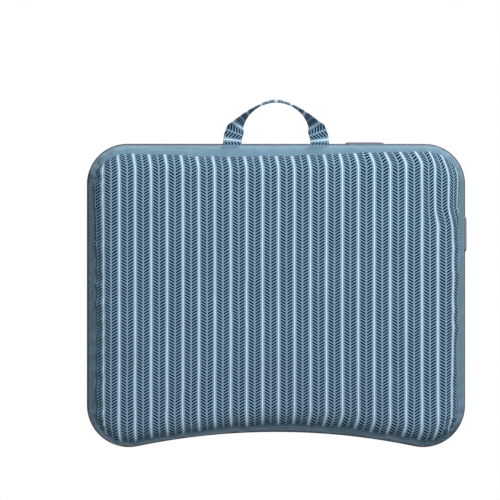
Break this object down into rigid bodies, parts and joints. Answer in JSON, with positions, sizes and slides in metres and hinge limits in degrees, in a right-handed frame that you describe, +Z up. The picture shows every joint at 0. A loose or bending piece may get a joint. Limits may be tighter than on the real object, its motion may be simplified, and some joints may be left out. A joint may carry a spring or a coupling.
{
  "type": "lap desk",
  "caption": "Lap desk: a wood-grain board with a phone tray, a slanted corner band and a carrying handle, fixed on a stuffed cushion in a striped cover.",
  "frame": {"origin": "middle of the flat of the cushion that the desk stands on, below the centre of the board", "axes": "+Z up through the board, +Y to the rear edge with the handle, +X to the right seen from above"},
  "size_m": [0.4517, 0.4143, 0.0604],
  "materials": {
    "wood_grain_laminate": "satin walnut-grain laminate",
    "fibreboard": "raw fibreboard",
    "edge_banding": "satin dark brown",
    "tray_plastic": "fine matt moulding",
    "grey_elastic": "ribbed knitted elastic",
    "staple_wire": "galvanised wire",
    "screw_steel": "zinc plated",
    "striped_fabric": "plain weave printed with a herringbone stripe",
    "white_webbing": "woven tape",
    "plain_fabric": "plain weave, dusty blue",
    "bag_fabric": "non-woven sheet",
    "filling": "loose polystyrene beads"
  },
  "bodies": {
    "desk": {"top_laminate": "wood_grain_laminate", "desk_board": "fibreboard", "edge_band": "edge_banding", "phone_tray": "tray_plastic", "corner_band_ends": "grey_elastic", "corner_band_staples": "staple_wire", "handle_tails": "striped_fabric", "handle_staples": "staple_wire", "backing_board": "fibreboard", "backing_screws": "screw_steel", "cover_tape": "plain_fabric", "tape_staples": "staple_wire", "cushion_side_strip": "plain_fabric", "cushion_face": "striped_fabric", "inner_bag": "bag_fabric", "inner_bag_top": "bag_fabric", "cushion_fill": "filling"},
    "handle": {"handle_loop": "striped_fabric", "handle_webbing": "white_webbing"},
    "band": {"corner_band": "grey_elastic"}
  },
  "joints": [
    {"name": "handle_swing", "type": "hinge", "parent": "desk", "child": "handle", "pos_m": [0, 0.1821, 0.048], "axis": [1, 0, 0], "range_deg": [-70, 85]},
    {"name": "band_lift", "type": "slide", "parent": "desk", "child": "band", "axis": [0, 0, 1], "range_m": [0, 0.012], "stiffness_N_per_m": 250}
  ]
}
